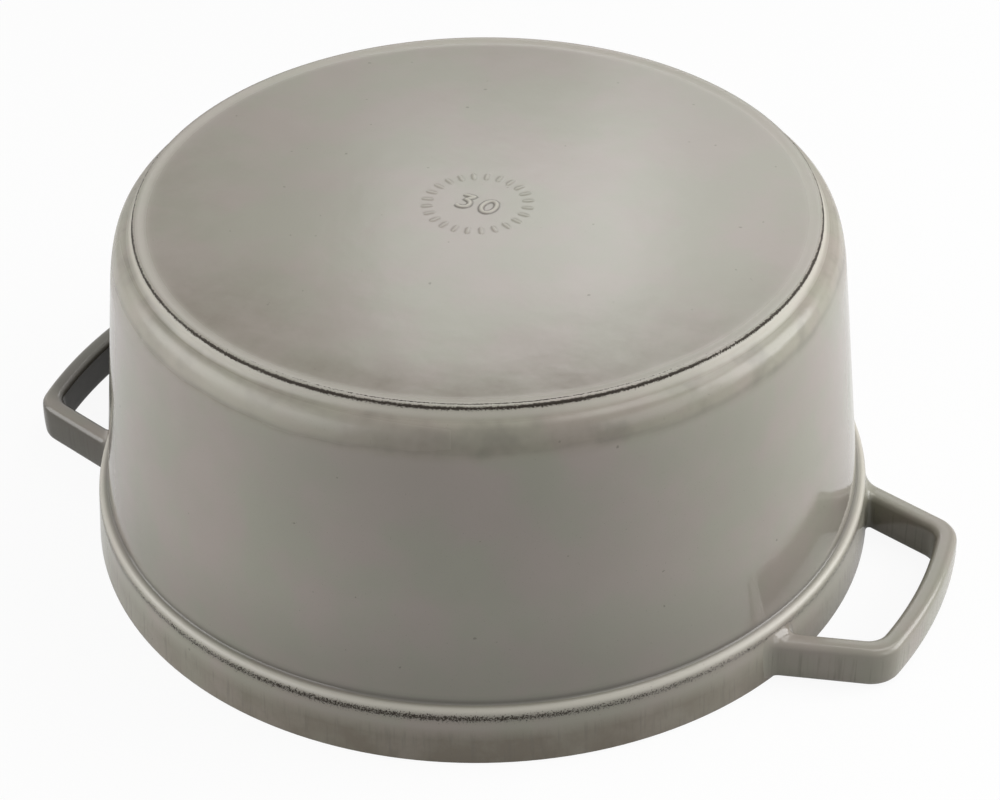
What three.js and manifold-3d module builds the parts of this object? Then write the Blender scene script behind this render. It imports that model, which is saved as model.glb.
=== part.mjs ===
// Enamelled cast-iron dutch oven, 30 cm, standing upside down on its rim.
// The lid lies on the same surface under the upturned pot, knob up, the way it is stored inside.
// Millimetres, +Z up, origin on the pot's axis in the plane of the rim, loop handles along X.

import * as THREE from 'three';
import { mergeVertices } from 'three/addons/utils/BufferGeometryUtils.js';
import Module from 'manifold-3d';

// Pot outside, heights measured from the rim
const RIM_RADIUS = 154;
const POT_HEIGHT = 139.8;
const BAND_HEIGHT = 20.2;
const BAND_TAPER = 1.8;
const BEAD_HEIGHT = 4.7;
const BEAD_STEP = 3.6;
const BEAD_FULLNESS = 0.8;
const BEAD_CREASE = 0.9;
const WALL_DRAFT = 9.9;
const SHOULDER_HEIGHT = 24.5;
const SHOULDER_STEP = 5.7;
const SHOULDER_FULLNESS = 0.75;
const COVE_HEIGHT = 5.4;
const COVE_STEP = 4.7;
const COVE_FULLNESS = 0.25;
const FOOT_WIDTH = 1.5;
const FOOT_SLOPE = 3.2;
const BASE_RECESS = 0.6;

// Pot inside
const RIM_LAND = 5.5;
const SEAT_WIDTH = 5;
const WALL_THICKNESS = 5.2;
const BASE_THICKNESS = 5;
const INNER_CORNER = 20;
const OVERCUT = 1;

// Enamel coats
const ENAMEL = 0.5;
const COAT_GAP = 0.3;
const BARE_EDGE = 0.5;

// Loop handles, cast in one with the pot
const FINGER_GAP = 27.6;
const HANDLE_BAR = 8.4;
const HANDLE_LEG = 8.4;
const HANDLE_BAR_HALF = 38.1;
const HANDLE_ROOT_HALF = 49;
const HANDLE_BOTTOM = 0.6;
const HANDLE_DROP = 2.8;
const HANDLE_ROUND = 2.2;
const OUTER_CORNER = 13;
const INNER_LOOP_CORNER = 8;
const OUTER_ROOT_FILLET = 4.5;
const INNER_ROOT_FILLET = 5;
const ROOT_BURIED = 6;

// Lid
const LID_CLEARANCE = 0.8;
const SKIRT_CLEARANCE = 1;
const SKIRT_DEPTH = 3;
const SKIRT_THICKNESS = 4;
const FLANGE_THICKNESS = 5;
const LID_HEADROOM = 0.5;
const DOME_SETBACK = 3.8;
const LID_THICKNESS = 5;
const DOME_RISE = 16;
const BOSS_RADIUS = 19;
const BOSS_HEIGHT = 1.6;
const BOSS_SLOPE = 3;

// Knob and its fastening
const KNOB_RADIUS = 20;
const KNOB_HEIGHT = 26;
const KNOB_FOOT_RADIUS = 13;
const KNOB_WAIST_RADIUS = 9.5;
const KNOB_WAIST_HEIGHT = 9;
const KNOB_FOOT_HEIGHT = 2.25;
const KNOB_EDGE = 5;
const KNOB_BULGE = 1;
const KNOB_CROWN = 4;
const KNOB_TOP_RADIUS = 14;
const KNOB_TOP_DROP = 1;
const THREAD_DEPTH = 15;
const WASHER_THICKNESS = 1.2;
const WASHER_RADIUS = 9;
const KNOB_WASHER_RADIUS = 12;
const SCREW_RADIUS = 3;
const SCREW_ENGAGEMENT = 12;
const SCREW_HEAD_RADIUS = 6;
const SCREW_HEAD_HEIGHT = 3.6;
const SCREW_HEAD_CHAMFER = 1;
const SCREW_FACE_SETBACK = 1.5;
const SLOT_WIDTH = 1.4;
const SLOT_DEPTH = 1.6;
const BORE_CLEARANCE = 0.4;
const SEAT_GAP = 0.3;

// Facets
const POT_SEGMENTS = 40;
const KNOB_SEGMENTS = 24;
const CURVE_STEPS = 4;
const DOME_STEPS = 5;
const BAR_STEPS = 4;
const EDGE_STEPS = 2;
const WELD_TOLERANCE = 1e-4;

const wasm = await Module();
wasm.setup();

const point = (x, y) => new THREE.Vector2(x, y);

const curve = (start, control, end) =>
  new THREE.QuadraticBezierCurve(start, control, end).getPoints(CURVE_STEPS);

// Drops triangles that shrank to a line on the axis and turns every face outwards.
function closedGeometry(positions, triangles) {
  const at = (i) => new THREE.Vector3().fromArray(positions, 3 * i);
  const kept = [];
  let volume = 0;
  for (let t = 0; t < triangles.length; t += 3) {
    const [a, b, c] = [triangles[t], triangles[t + 1], triangles[t + 2]];
    if (a === b || b === c || c === a) continue;
    kept.push(a, b, c);
    volume += at(a).dot(at(b).cross(at(c)));
  }
  if (volume < 0) kept.reverse();
  const geometry = new THREE.BufferGeometry();
  geometry.setAttribute('position', new THREE.Float32BufferAttribute(positions, 3));
  geometry.setIndex(kept);
  geometry.computeVertexNormals();
  return geometry;
}

function welded(source) {
  const bare = source.clone();
  bare.deleteAttribute('normal');
  bare.deleteAttribute('uv');
  const merged = mergeVertices(bare, WELD_TOLERANCE);
  return closedGeometry(Array.from(merged.attributes.position.array), Array.from(merged.index.array));
}

// Revolves a profile of radius and height about Z; the profile closes on itself or on the axis.
function turned(profile, segments = POT_SEGMENTS) {
  const onAxis = profile[0].x === 0 && profile.at(-1).x === 0;
  const outline = onAxis ? profile : [...profile, profile[0]];
  return welded(new THREE.LatheGeometry(outline, segments).rotateX(Math.PI / 2));
}

function solid(geometry) {
  const vertProperties = new Float32Array(geometry.attributes.position.array);
  const triVerts = new Uint32Array(geometry.index.array);
  return new wasm.Manifold(new wasm.Mesh({ numProp: 3, vertProperties, triVerts }));
}

function geometryOf(manifold) {
  const mesh = manifold.getMesh();
  return closedGeometry(Array.from(mesh.vertProperties), Array.from(mesh.triVerts));
}

// Moves a line of radius and height sideways, to the right of its travel, with mitred corners.
function offset(line, distance) {
  const sides = line.slice(1).map((p, i) => {
    const along = p.clone().sub(line[i]).normalize();
    return point(along.y, -along.x);
  });
  return line.map((p, i) => {
    const before = sides[Math.max(i - 1, 0)];
    const after = sides[Math.min(i, sides.length - 1)];
    const middle = before.clone().add(after).normalize();
    return p.clone().addScaledVector(middle, distance / middle.dot(before));
  });
}

// Slides the end of a line along its last stretch to a given height.
function endedAt(line, height) {
  const [before, last] = line.slice(-2);
  const share = (height - before.y) / (last.y - before.y);
  return [...line.slice(0, -1), before.clone().lerp(last, share)];
}

// A coat follows a line on one side of it and ends at a given height.
function coat(line, side, height) {
  const face = endedAt(line, height);
  const back = endedAt(offset(line, side * ENAMEL), height);
  return turned([...face, ...back.reverse()]);
}

const IRON_DEPTH = ENAMEL + COAT_GAP;
const BELOW = 1;
const ABOVE = -1;

// Pot profile

const bandTopRadius = RIM_RADIUS - BAND_TAPER;
const wallRootRadius = bandTopRadius - BEAD_STEP;
const wallRootHeight = BAND_HEIGHT + BEAD_HEIGHT;
const wallTopRadius = wallRootRadius - WALL_DRAFT;
const coveBottomHeight = POT_HEIGHT - COVE_HEIGHT;
const wallTopHeight = POT_HEIGHT - SHOULDER_HEIGHT;
const shoulderRadius = wallTopRadius - SHOULDER_STEP;
const footRadius = shoulderRadius - COVE_STEP;
const baseHeight = POT_HEIGHT - BASE_RECESS;
const seatRadius = RIM_RADIUS - RIM_LAND;
const mouthRadius = seatRadius - SEAT_WIDTH;
const flangeTop = SKIRT_DEPTH + FLANGE_THICKNESS;
const seatDepth = flangeTop + LID_HEADROOM;

// From the middle of the base over the foot ring, shoulder, wall and bead to the rim.
function potOutside() {
  const foot = point(footRadius, POT_HEIGHT);
  const shoulder = point(shoulderRadius, coveBottomHeight);
  const wallTop = point(wallTopRadius, wallTopHeight);
  const wallRoot = point(wallRootRadius, wallRootHeight);
  const bandTop = point(bandTopRadius, BAND_HEIGHT);
  const beadTop = BAND_HEIGHT + BEAD_HEIGHT * BEAD_FULLNESS;
  const crease = point(wallRootRadius + BEAD_CREASE, beadTop);
  const wallSlope = (wallRootRadius - wallTopRadius) / (wallTopHeight - wallRootHeight);
  const shoulderTurn = (coveBottomHeight - wallTopHeight) * SHOULDER_FULLNESS;
  const coveTurn = point(
    footRadius + COVE_STEP * COVE_FULLNESS,
    coveBottomHeight + COVE_HEIGHT * COVE_FULLNESS,
  );
  return [
    point(0, baseHeight),
    point(footRadius - FOOT_WIDTH - FOOT_SLOPE, baseHeight),
    point(footRadius - FOOT_WIDTH, POT_HEIGHT),
    ...curve(foot, coveTurn, shoulder),
    ...curve(
      shoulder,
      point(wallTopRadius - wallSlope * shoulderTurn, wallTopHeight + shoulderTurn),
      wallTop,
    ).slice(1),
    ...curve(wallRoot, point(wallRootRadius, beadTop), crease),
    ...curve(crease, point(bandTopRadius, beadTop), bandTop).slice(1),
    point(RIM_RADIUS, 0),
  ];
}

// From the middle of the inner floor down the wall and round the lid seat to the rim.
function potInside() {
  const floorHeight = baseHeight - BASE_THICKNESS;
  const wallTopInside = wallTopRadius - WALL_THICKNESS;
  const slope = (mouthRadius - wallTopInside) / (wallTopHeight - seatDepth);
  const wallAt = (height) => mouthRadius - slope * (height - seatDepth);
  const corner = point(wallAt(floorHeight), floorHeight);
  const wallStart = floorHeight - INNER_CORNER;
  return [
    point(0, floorHeight),
    ...curve(point(corner.x - INNER_CORNER, floorHeight), corner, point(wallAt(wallStart), wallStart)),
    point(mouthRadius, seatDepth),
    point(seatRadius, seatDepth),
    point(seatRadius, 0),
  ];
}

// A plug fills everything under the pot's outside at a depth, down to a given height.
function plug(depth, height) {
  const line = endedAt(offset(potOutside(), depth), height);
  return solid(turned([...line, point(0, height)]));
}

// The room inside the pot, opened past the rim; a depth widens it into the wall.
function cavity(depth) {
  const line = endedAt(offset(potInside(), ABOVE * depth), -OVERCUT);
  return solid(turned([...line, point(0, -OVERCUT)]));
}

// Loop handle

const handleReach = RIM_RADIUS + FINGER_GAP + HANDLE_BAR;
const handleTop = BAND_HEIGHT - HANDLE_DROP;

// A round that touches a straight face and a circle about the axis.
function roundBetween(face, radius, circle, tangentRadius) {
  const shifted = face.at.clone().addScaledVector(face.normal, radius);
  const ahead = shifted.dot(face.along);
  const travel = Math.sqrt(ahead ** 2 - shifted.lengthSq() + tangentRadius ** 2) - ahead;
  const centre = shifted.addScaledVector(face.along, travel);
  return {
    centre,
    onFace: centre.clone().addScaledVector(face.normal, -radius),
    onCircle: centre.clone().setLength(circle),
  };
}

function arc(centre, start, end, steps) {
  const from = start.clone().sub(centre);
  const to = end.clone().sub(centre);
  const turn = Math.atan2(from.x * to.y - from.y * to.x, from.dot(to));
  const points = [];
  for (let step = 0; step <= steps; step += 1) {
    points.push(from.clone().rotateAround(point(0, 0), turn * step / steps).add(centre));
  }
  return points;
}

// The handle seen from above, drawn in by a depth: two legs that close in towards a curved bar.
function handleOutline(depth) {
  const axis = point(0, 0);
  const bandRadius = RIM_RADIUS - BAND_TAPER / 2;
  const barMiddle = handleReach - HANDLE_BAR / 2;
  const root = point(Math.sqrt(bandRadius ** 2 - HANDLE_ROOT_HALF ** 2), HANDLE_ROOT_HALF);
  const apex = point(Math.sqrt(barMiddle ** 2 - HANDLE_BAR_HALF ** 2), HANDLE_BAR_HALF);
  const along = apex.clone().sub(root).normalize();
  const outward = point(-along.y, along.x);
  const inward = outward.clone().negate();
  const halfLeg = HANDLE_LEG / 2 - depth;
  const outerAt = root.clone().addScaledVector(outward, halfLeg);
  const innerAt = root.clone().addScaledVector(inward, halfLeg);
  const band = bandTopRadius * Math.cos(Math.PI / POT_SEGMENTS) - depth;
  const outerBar = handleReach - depth;
  const innerBar = handleReach - HANDLE_BAR + depth;
  const outerRound = OUTER_CORNER - depth;
  const innerRound = INNER_LOOP_CORNER + depth;
  const outerFillet = OUTER_ROOT_FILLET + depth;
  const innerFillet = INNER_ROOT_FILLET + depth;

  // One side of the loop, from inside the wall over the root and the corner to the bar.
  function side(at, rootNormal, fillet, cornerNormal, corner, bar) {
    const foot = roundBetween({ at, along, normal: rootNormal }, fillet, band, band + fillet);
    const bend = roundBetween({ at, along, normal: cornerNormal }, corner, bar, bar - corner);
    return [
      foot.onCircle.clone().setLength(band - ROOT_BURIED),
      ...arc(foot.centre, foot.onCircle, foot.onFace, CURVE_STEPS),
      ...arc(bend.centre, bend.onFace, bend.onCircle, CURVE_STEPS),
    ];
  }

  // The same side, its bar and its mirror image across the middle of the handle.
  function loop(half) {
    const mirrored = half.map((p) => point(p.x, -p.y)).reverse();
    const bar = arc(axis, half.at(-1), mirrored[0], BAR_STEPS).slice(1, -1);
    return [...half, ...bar, ...mirrored];
  }

  const outer = loop(side(outerAt, outward, outerFillet, inward, outerRound, outerBar));
  const inner = loop(side(innerAt, inward, innerFillet, inward, innerRound, innerBar));
  return [...outer, ...inner.reverse()];
}

function handleSolid(depth, heading) {
  const edge = HANDLE_ROUND - depth;
  const geometry = new THREE.ExtrudeGeometry(new THREE.Shape(handleOutline(depth)), {
    depth: handleTop - HANDLE_BOTTOM - 2 * (depth + edge),
    steps: 1,
    bevelThickness: edge,
    bevelSize: edge,
    bevelOffset: -edge,
    bevelSegments: EDGE_STEPS,
  });
  geometry.translate(0, 0, HANDLE_BOTTOM + depth + edge);
  return solid(welded(geometry.rotateZ(heading)));
}

const HANDLE_HEADINGS = [0, Math.PI];

const withHandles = (body, depth) =>
  HANDLE_HEADINGS.reduce((sum, heading) => sum.add(handleSolid(depth, heading)), body);

// Lid profile, in heights above the skirt's lower edge

const flangeRadius = seatRadius - LID_CLEARANCE;
const skirtRadius = mouthRadius - SKIRT_CLEARANCE;
const domeRadius = mouthRadius - DOME_SETBACK;
const boreRadius = SCREW_RADIUS + BORE_CLEARANCE;
const bossTop = flangeTop + DOME_RISE + BOSS_HEIGHT;
const bossUnder = bossTop - BOSS_HEIGHT - LID_THICKNESS;

// The dome is a shallow bowl: highest in the middle, level with the flange at its edge.
function domeLine(startRadius, endRadius, drop) {
  const line = [];
  for (let step = 0; step <= DOME_STEPS; step += 1) {
    const radius = THREE.MathUtils.lerp(startRadius, endRadius, step / DOME_STEPS);
    const share = (radius - startRadius) / (endRadius - startRadius);
    line.push(point(radius, flangeTop + DOME_RISE * (1 - share ** 2) - drop));
  }
  return line;
}

// From the bore over the boss and the dome to the lower edge of the flange.
function lidTop() {
  return [
    point(boreRadius, bossTop),
    point(BOSS_RADIUS, bossTop),
    ...domeLine(BOSS_RADIUS + BOSS_SLOPE, domeRadius, 0),
    point(flangeRadius, flangeTop),
    point(flangeRadius, SKIRT_DEPTH),
  ];
}

// From the bore under the dome to the inner face of the skirt.
function lidUnder() {
  return [
    point(boreRadius, bossUnder),
    ...domeLine(BOSS_RADIUS + BOSS_SLOPE, skirtRadius - SKIRT_THICKNESS, LID_THICKNESS),
    point(skirtRadius - SKIRT_THICKNESS, 0),
  ];
}

function lidCasting() {
  const upper = endedAt(offset(lidTop(), IRON_DEPTH), SKIRT_DEPTH);
  const lower = endedAt(offset(lidUnder(), ABOVE * IRON_DEPTH), 0);
  const bare = [point(skirtRadius, SKIRT_DEPTH), point(skirtRadius, 0)];
  return turned([...upper, ...bare, ...lower.reverse()]);
}

// Knob stack, standing on the lid's boss

const washerBottom = bossTop + SEAT_GAP;
const knobBottom = washerBottom + WASHER_THICKNESS + SEAT_GAP;
const screwWasherTop = bossUnder - SEAT_GAP;
const headTop = screwWasherTop - WASHER_THICKNESS - SEAT_GAP;

function knob() {
  const edgeHeight = KNOB_HEIGHT - KNOB_CROWN;
  const waist = point(KNOB_WAIST_RADIUS, KNOB_WAIST_HEIGHT);
  const under = point(KNOB_RADIUS, edgeHeight - KNOB_EDGE);
  const edge = point(KNOB_RADIUS + KNOB_BULGE, edgeHeight);
  const shoulder = point(KNOB_TOP_RADIUS, KNOB_HEIGHT - KNOB_TOP_DROP);
  return turned([
    point(0, THREAD_DEPTH),
    point(boreRadius, THREAD_DEPTH),
    point(boreRadius, 0),
    ...curve(point(KNOB_FOOT_RADIUS, 0), point(KNOB_WAIST_RADIUS, KNOB_FOOT_HEIGHT), waist),
    ...curve(waist, point(KNOB_WAIST_RADIUS, under.y), under).slice(1),
    ...curve(under, edge, shoulder).slice(1),
    point(0, KNOB_HEIGHT),
  ], KNOB_SEGMENTS);
}

function washer(radius) {
  return turned([
    point(boreRadius, 0),
    point(radius, 0),
    point(radius, WASHER_THICKNESS),
    point(boreRadius, WASHER_THICKNESS),
  ], KNOB_SEGMENTS);
}

// A slotted pan-head screw, its shank up and its slot facing down, with the seat at height 0.
function screw() {
  const length = knobBottom - headTop + SCREW_ENGAGEMENT;
  const body = solid(turned([
    point(0, -SCREW_HEAD_HEIGHT),
    point(SCREW_HEAD_RADIUS - SCREW_FACE_SETBACK, -SCREW_HEAD_HEIGHT),
    point(SCREW_HEAD_RADIUS, SCREW_HEAD_CHAMFER - SCREW_HEAD_HEIGHT),
    point(SCREW_HEAD_RADIUS, 0),
    point(SCREW_RADIUS, 0),
    point(SCREW_RADIUS, length),
    point(0, length),
  ], KNOB_SEGMENTS));
  const slotLength = 2 * (SCREW_HEAD_RADIUS + OVERCUT);
  const slot = new THREE.BoxGeometry(slotLength, SLOT_WIDTH, 2 * SLOT_DEPTH);
  slot.translate(0, 0, -SCREW_HEAD_HEIGHT);
  return geometryOf(body.subtract(solid(welded(slot))));
}

// Materials

const greyEnamel = () => new THREE.MeshStandardMaterial({ color: 0x938f86, roughness: 0.3, metalness: 0 });
const blackEnamel = () => new THREE.MeshStandardMaterial({ color: 0x1d1c1b, roughness: 0.6, metalness: 0 });
const bareIron = () => new THREE.MeshStandardMaterial({ color: 0x3b3733, roughness: 0.65, metalness: 0.7 });
const nickel = () => new THREE.MeshStandardMaterial({ color: 0xb9b4ab, roughness: 0.25, metalness: 1 });
const steel = () => new THREE.MeshStandardMaterial({ color: 0x9a9894, roughness: 0.35, metalness: 1 });
const fibre = () => new THREE.MeshStandardMaterial({ color: 0x2b2724, roughness: 0.85, metalness: 0 });

function piece(name, geometry, material, height = 0) {
  const mesh = new THREE.Mesh(geometry, material);
  mesh.name = name;
  mesh.position.z = height;
  return mesh;
}

// Assembly

function pot() {
  const group = new THREE.Group();
  const iron = withHandles(plug(IRON_DEPTH, 0), IRON_DEPTH).subtract(cavity(IRON_DEPTH));
  const hollow = withHandles(plug(ENAMEL, -OVERCUT), ENAMEL);
  const outer = withHandles(plug(0, BARE_EDGE), 0).subtract(hollow);
  group.add(
    piece('pot_casting', geometryOf(iron), bareIron()),
    piece('pot_outer_enamel', geometryOf(outer), greyEnamel()),
    piece('pot_inner_enamel', coat(potInside(), ABOVE, BARE_EDGE), blackEnamel()),
  );
  return group;
}

function lid() {
  const group = new THREE.Group();
  group.add(
    piece('lid_casting', lidCasting(), bareIron()),
    piece('lid_outer_enamel', coat(lidTop(), BELOW, SKIRT_DEPTH + BARE_EDGE), greyEnamel()),
    piece('lid_inner_enamel', coat(lidUnder(), ABOVE, BARE_EDGE), blackEnamel()),
    piece('knob_washer', washer(KNOB_WASHER_RADIUS), fibre(), washerBottom),
    piece('knob', knob(), nickel(), knobBottom),
    piece('screw_washer', washer(WASHER_RADIUS), steel(), screwWasherTop - WASHER_THICKNESS),
    piece('knob_screw', screw(), steel(), headTop),
  );
  return group;
}

const dutchOven = new THREE.Group();
dutchOven.add(pot(), lid());

export default dutchOven;
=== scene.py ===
import math

import bpy
import numpy as np
from mathutils import Matrix, Vector

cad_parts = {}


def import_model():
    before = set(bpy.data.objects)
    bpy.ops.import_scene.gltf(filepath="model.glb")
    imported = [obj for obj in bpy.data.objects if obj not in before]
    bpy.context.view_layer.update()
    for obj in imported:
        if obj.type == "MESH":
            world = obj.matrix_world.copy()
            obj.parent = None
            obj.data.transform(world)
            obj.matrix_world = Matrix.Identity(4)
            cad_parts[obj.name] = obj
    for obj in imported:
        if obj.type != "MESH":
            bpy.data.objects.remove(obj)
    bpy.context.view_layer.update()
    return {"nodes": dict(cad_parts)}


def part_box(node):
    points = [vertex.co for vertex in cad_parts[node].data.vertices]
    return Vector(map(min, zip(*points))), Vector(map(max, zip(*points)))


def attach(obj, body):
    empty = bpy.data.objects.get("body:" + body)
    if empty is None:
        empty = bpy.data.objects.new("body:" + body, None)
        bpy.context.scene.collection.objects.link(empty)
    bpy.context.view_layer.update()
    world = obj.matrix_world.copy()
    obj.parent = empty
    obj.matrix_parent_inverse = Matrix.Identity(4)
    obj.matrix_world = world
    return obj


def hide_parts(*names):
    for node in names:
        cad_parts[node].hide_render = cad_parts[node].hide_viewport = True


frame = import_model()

# Sizes in millimetres, in the frame's axes. What the frame knows is read from it.

MM = 0.001


def corners_of(node):
    low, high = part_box(node)
    return low / MM, high / MM


pot_low, pot_high = corners_of("pot_outer_enamel")
inner_high = corners_of("pot_inner_enamel")[1]
lid_low, lid_high = corners_of("lid_outer_enamel")
under_low, under_high = corners_of("lid_inner_enamel")
knob_low, knob_high = corners_of("knob")
fibre_low, fibre_high = corners_of("knob_washer")
steel_low, steel_high = corners_of("screw_washer")

# Pot outside. A bend gives the lengths before and after a corner that its curve takes up.
POT_HEIGHT = pot_high.z
RIM_RADIUS = pot_high.y
HANDLE_REACH = pot_high.x
COAT_EDGE = pot_low.z
COAT_EDGE_BEND = 0.2
BAND_HEIGHT = 20.2
BAND_TAPER = 1.8
BEAD_HEIGHT = 4.7
BEAD_STEP = 3.6
BEAD_FULLNESS = 0.8
BEAD_CREASE = 0.9
WALL_DRAFT = 9.9
WALL_BEND = 4.4
SHOULDER_HEIGHT = 24.5
SHOULDER_STEP = 5.7
SHOULDER_FULLNESS = 0.75
SHOULDER_BEND = (1.7, 1.5)
COVE_HEIGHT = 5.4
COVE_STEP = 4.7
COVE_FULLNESS = 0.25
COVE_BEND = (3.2, 2.0)
FOOT_WIDTH = 1.5
FOOT_SLOPE = 3.2
FOOT_OUTER_BEND = (0.7, 0.6)
FOOT_INNER_BEND = (0.8, 0.7)
BASE_RECESS = 0.6
BASE_BEND = (2.4, 1.4)
RIM_ROUND = 1.6

# Pot inside and coats
RIM_LAND = 5.5
SEAT_WIDTH = 5.0
SEAT_DEPTH = 8.5
SEAT_ROUND = 1.2
WALL_THICKNESS = 5.2
INNER_CORNER = 20.0
ENAMEL = 0.5
IRON_DEPTH = 0.8

# Loop handles
HANDLE_HEADINGS = {"right": 0.0, "left": math.pi}
HANDLE_BAR = 8.4
HANDLE_LEG = 8.4
HANDLE_BAR_HALF = 38.1
HANDLE_ROOT_HALF = 49.0
HANDLE_BOTTOM = 0.6
HANDLE_DROP = 2.8
HANDLE_ROUND = 2.2
HANDLE_BULGE = 0.35
OUTER_CORNER = 13.0
INNER_LOOP_CORNER = 8.0
OUTER_ROOT_FILLET = 4.5
INNER_ROOT_FILLET = 5.0
TOP_ROOT_FILLET = 5.6
ROOT_RUN = 4.0
ROOT_SINK = 0.05
ROOT_CAP_DEPTH = 1.0

# Lid
FLANGE_THICKNESS = 5.0
FLANGE_BEND = 2.0
SKIRT_DEPTH = 3.0
SKIRT_THICKNESS = 4.0
SKIRT_ROOT_BEND = 0.6
SKIRT_EDGE_BEND = 0.8
SKIRT_INSIDE_BEND = 1.0
DOME_RISE = 16.0
DOME_SETBACK = 3.8
LID_THICKNESS = 5.0
LID_ROUND = 1.2
BOSS_RADIUS = 19.0
BOSS_SLOPE = 3.0
BOSS_BEND = 1.5
BORE_RADIUS = 3.4

# Knob and washers
KNOB_FOOT_RADIUS = 13.0
KNOB_FOOT_BEND = 0.5
KNOB_WAIST_RADIUS = 9.5
KNOB_WAIST_HEIGHT = 9.0
KNOB_WAIST_BEND = (3.0, 6.0)
KNOB_NECK_FLARE = 1.0
KNOB_NECK_BEND = (4.0, 5.0)
KNOB_EDGE = 5.0
KNOB_EDGE_BEND = (2.4, 1.8)
KNOB_LIP = 1.0
KNOB_LIP_BEND = (1.6, 3.6)
KNOB_CROWN = 4.0
KNOB_CROWN_RADIUS = 8.0
KNOB_CROWN_BEND = (7.0, 7.5)
THREAD_DEPTH = 15.0
WASHER_ROUND = 0.25

# Size number on the base, with a ring of plain ticks around it
DIGIT_HALF_WIDTH = 2.65
DIGIT_HALF_HEIGHT = 4.05
DIGIT_SPACING = 10.0
DIGIT_DROP = 0.6
DIGIT_RELIEF = 0.5
DIGIT_CONTRAST = 1.25
BOWL_SHARE = 0.98
BOWL_ANGLES = (95.0, -150.0)
TOP_STROKE_SHARE = 0.9
TICK_COUNT = 24
TICK_INNER = 16.5
TICK_OUTER = 21.5
TICK_RELIEF = 0.14
TICK_CONTRAST = 0.35
MARK_STROKE = 3.6
MARK_SINK = 0.12
# Painted shade on the strokes' aprons and painted highlight on their crests, scaled by each mark's contrast.
MARK_POOL = 0.54
RIDGE_SHARE = 0.66
RIDGE_SHARPNESS = 1.3
RIDGE_END_SHARE = 0.05
APRON_LIFT = 0.02

# Fineness
TURN_STEPS = 192
KNOB_STEPS = 96
CURVE_STEPS = 8
BEND_STEP = 1.0
LONGEST_STEP = 1.5
SHORTEST_STEP = 0.0001
DOME_STEPS = 24
LEG_STEPS = 6
LOOP_CORNER_STEPS = 14
BAR_STEPS = 16
ROOT_STEPS = 12
SECTION_CORNER_STEPS = 6
SECTION_TOP_STEPS = 3
SECTION_SIDE_STEPS = 5
RIDGE_STEPS = 20
BOWL_STEPS = 21
ZERO_STEPS = 40
TICK_STEPS = 10
DIGIT_STEP = 0.5
SHARP_ANGLE = 40.0

# Wear, glaze, painted shade and painted highlight: headings and spreads in degrees round the pot, depths as
# shares.
# A wave has its size, its count round the pot and its phase.
MASKS = ("wear", "pool", "pale", "tint")
WEAR_HEADING = -76.0
WEAR_SPREAD = 42.0
FRONT_HEADING = -64.0
FRONT_SPREAD = 40.0
LEFT_HEADING = -108.0
LEFT_SPREAD = 28.0
BEAD_WEAR = 0.82
BEAD_WEAR_LEAST = 0.42
BEAD_WEAR_LIFT = 0.3
BEAD_WEAR_WIDTH = 1.7
# Outside the foot's crest: a dark line, partly wear and partly painted shade on the crest's steep side.
# Inside it, only at the front: a thin line of painted shade.
FOOT_WEAR = 1.15
FOOT_WEAR_OUT = 0.15
FOOT_WEAR_DROP = 0.5
FOOT_WEAR_WIDTH = 0.72
FOOT_WEAR_WAVES = ((0.1, 7, 1.0), (0.08, 19, 0.0))
FOOT_LINE_INSET = 0.2
FOOT_LINE_WIDTH = 0.45
# Painted shade, partly pooled glaze, in the crease above the bead and in the corner below it, the corner most
# on the side where the bead is worn.
POOL_WIDTH = 1.4
CREASE_POOL = 0.54
CREASE_POOL_LIFT = 0.6
CORNER_POOL = 0.32
CORNER_POOL_LEAST = 0.6
# The shoulder: an uneven line where a painted reflection ends, with painted shade along it and on the front,
# and a painted reflection on the left.
SHOULDER_EDGE = POT_HEIGHT - 13.4
SHOULDER_EDGE_WIDTH = 1.2
SHOULDER_EDGE_WAVES = ((0.6, 5, 0.7), (0.4, 13, 0.0), (0.25, 37, 2.0))
SHOULDER_TOP = POT_HEIGHT - 4.6
SHOULDER_POOL = 0.17
SHOULDER_POOL_SPREAD = 24.0
SHOULDER_PALE = 0.36
# Pale rings beside the foot, on the foot's inner slope and on the bead's crown: partly thin glaze, partly
# painted highlight.
COVE_PALE_OUT = 1.0
COVE_PALE_DROP = 2.2
COVE_PALE_WIDTH = 1.56
SLOPE_PALE = 0.5
SLOPE_PALE_WIDTH = 2.4
BEAD_PALE_INSET = 0.8
BEAD_PALE_WIDTH = 1.92
# Painted shade low on the rim band, most at the front.
BAND_SHADE = 0.95
BAND_SHADE_LEAST = 0.25
BAND_SHADE_TOP = 16.5
BAND_SHADE_DEPTH = 6.0
BAND_SHADE_SPREAD = 50.0
TINT_PATCHES = (        # heading, spread, depth, and the radii where each starts and is full
    (-38.0, 26.0, 0.6, 66.0, 116.0),
    (-115.0, 24.0, 0.62, 66.0, 116.0),
    (-160.0, 40.0, 0.32, 66.0, 116.0),
    (100.0, 60.0, 0.15, 66.0, 116.0),
    (-65.0, 55.0, 0.8, 98.0, 117.0),
)
# Painted shade on the handles, much deeper on the left one and inside its loop.
HANDLE_POOL = {
    "right": {"bar_top": 0.14, "leg_top": 0.14, "leg_side": 0.1, "inside": 0.32},
    "left": {"bar_top": 0.62, "leg_top": 0.12, "leg_side": 0.8, "inside": 1.0},
}
NEAR_LEG_START = 0.7

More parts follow.
